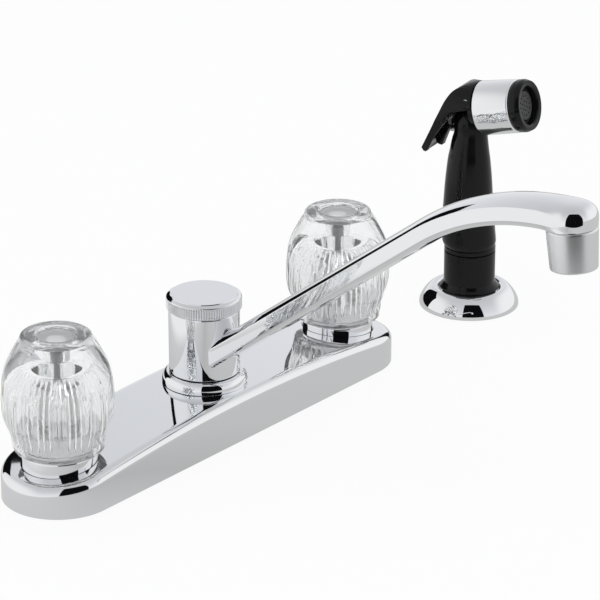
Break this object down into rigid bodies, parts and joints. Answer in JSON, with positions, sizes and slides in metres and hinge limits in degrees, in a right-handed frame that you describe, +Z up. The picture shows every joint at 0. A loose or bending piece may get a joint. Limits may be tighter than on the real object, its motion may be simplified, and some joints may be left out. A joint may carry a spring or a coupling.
{
  "type": "two handle kitchen faucet",
  "caption": "Deck-mounted kitchen faucet with an arched plate, clear knobs, a rising spout that swings, and a pull-out side spray with a trigger.",
  "frame": {"origin": "on the sink deck, under the spout column's axis", "axes": "+X along the deck plate from the hot (left) knob to the cold (right) knob and the spray, -Y towards the sink and the user, +Z up"},
  "size_m": [0.3574, 0.2465, 0.2046],
  "materials": {
    "chrome": "polished plate",
    "clear_acrylic": "clear, polished",
    "index_button": "translucent, plain",
    "black_plastic": "gloss",
    "spray_screen": "satin",
    "brass": "cast and machined",
    "stainless_steel": "plain",
    "rubber": "matt",
    "white_plastic": "moulded"
  },
  "bodies": {
    "deck_body": {"deck_plate": "chrome", "deck_gasket": "rubber", "waterway": "brass", "hub_ring": "chrome", "hub_post": "brass", "spout_cap": "chrome", "spout_oring_1": "rubber", "spout_oring_2": "rubber", "valve_collar_left": "chrome", "valve_collar_right": "chrome", "bonnet_left": "chrome", "bonnet_right": "chrome", "valve_seat_left": "rubber", "valve_seat_right": "rubber", "deck_washer_left": "stainless_steel", "deck_washer_right": "stainless_steel", "mounting_nut_left": "white_plastic", "mounting_nut_right": "white_plastic", "spray_flange": "chrome", "spray_guide": "black_plastic", "spray_washer": "stainless_steel", "spray_nut": "white_plastic"},
    "spout": {"spout": "chrome", "aerator_shell": "chrome", "aerator_insert": "white_plastic"},
    "handle_left": {"valve_stem_left": "stainless_steel", "knob_left": "clear_acrylic", "index_button_left": "index_button", "handle_screw_left": "stainless_steel"},
    "handle_right": {"valve_stem_right": "stainless_steel", "knob_right": "clear_acrylic", "index_button_right": "index_button", "handle_screw_right": "stainless_steel"},
    "diverter": {"diverter_piston": "white_plastic"},
    "spray_coupling": {"spray_collar": "black_plastic"},
    "sprayer": {"spray_handle": "black_plastic", "spray_shell": "chrome", "spray_nozzle": "black_plastic", "spray_face": "spray_screen"},
    "spray_trigger": {"spray_trigger": "black_plastic", "trigger_pin": "stainless_steel"},
    "spray_valve": {"spray_plunger": "stainless_steel"}
  },
  "joints": [
    {"name": "spout_swing", "type": "hinge", "parent": "deck_body", "child": "spout", "pos_m": [0, 0, 0.045], "axis": [0, 0, 1], "range_deg": [-90, 90]},
    {"name": "handle_left_turn", "type": "hinge", "parent": "deck_body", "child": "handle_left", "pos_m": [-0.1016, 0, 0.05], "axis": [0, 0, 1], "range_deg": [0, 90]},
    {"name": "handle_right_turn", "type": "hinge", "parent": "deck_body", "child": "handle_right", "pos_m": [0.1016, 0, 0.05], "axis": [0, 0, 1], "range_deg": [-90, 0]},
    {"name": "diverter_lift", "type": "slide", "parent": "deck_body", "child": "diverter", "axis": [0, 0, 1], "range_m": [0, 0.003], "stiffness_N_per_m": 100},
    {"name": "spray_pull_out", "type": "slide", "parent": "deck_body", "child": "spray_coupling", "axis": [0, 0, 1], "range_m": [0, 0.45]},
    {"name": "spray_swivel", "type": "hinge", "parent": "spray_coupling", "child": "sprayer", "pos_m": [0.203, -0.007, 0.035], "axis": [0, 0, 1], "continuous": true},
    {"name": "trigger_pull", "type": "hinge", "parent": "sprayer", "child": "spray_trigger", "pos_m": [0.20328, -0.00858, 0.1136], "axis": [-0.9848, -0.1736, 0], "range_deg": [0, 7], "stiffness_Nm_per_rad": 0.3, "springref_deg": -5.73},
    {"name": "valve_push", "type": "slide", "parent": "sprayer", "child": "spray_valve", "axis": [0.1736, -0.9848, 0], "range_m": [0, 0.0024]}
  ],
  "couplings": [
    {"joint": "valve_push", "follows": "trigger_pull", "m_per_rad": 0.0191}
  ]
}
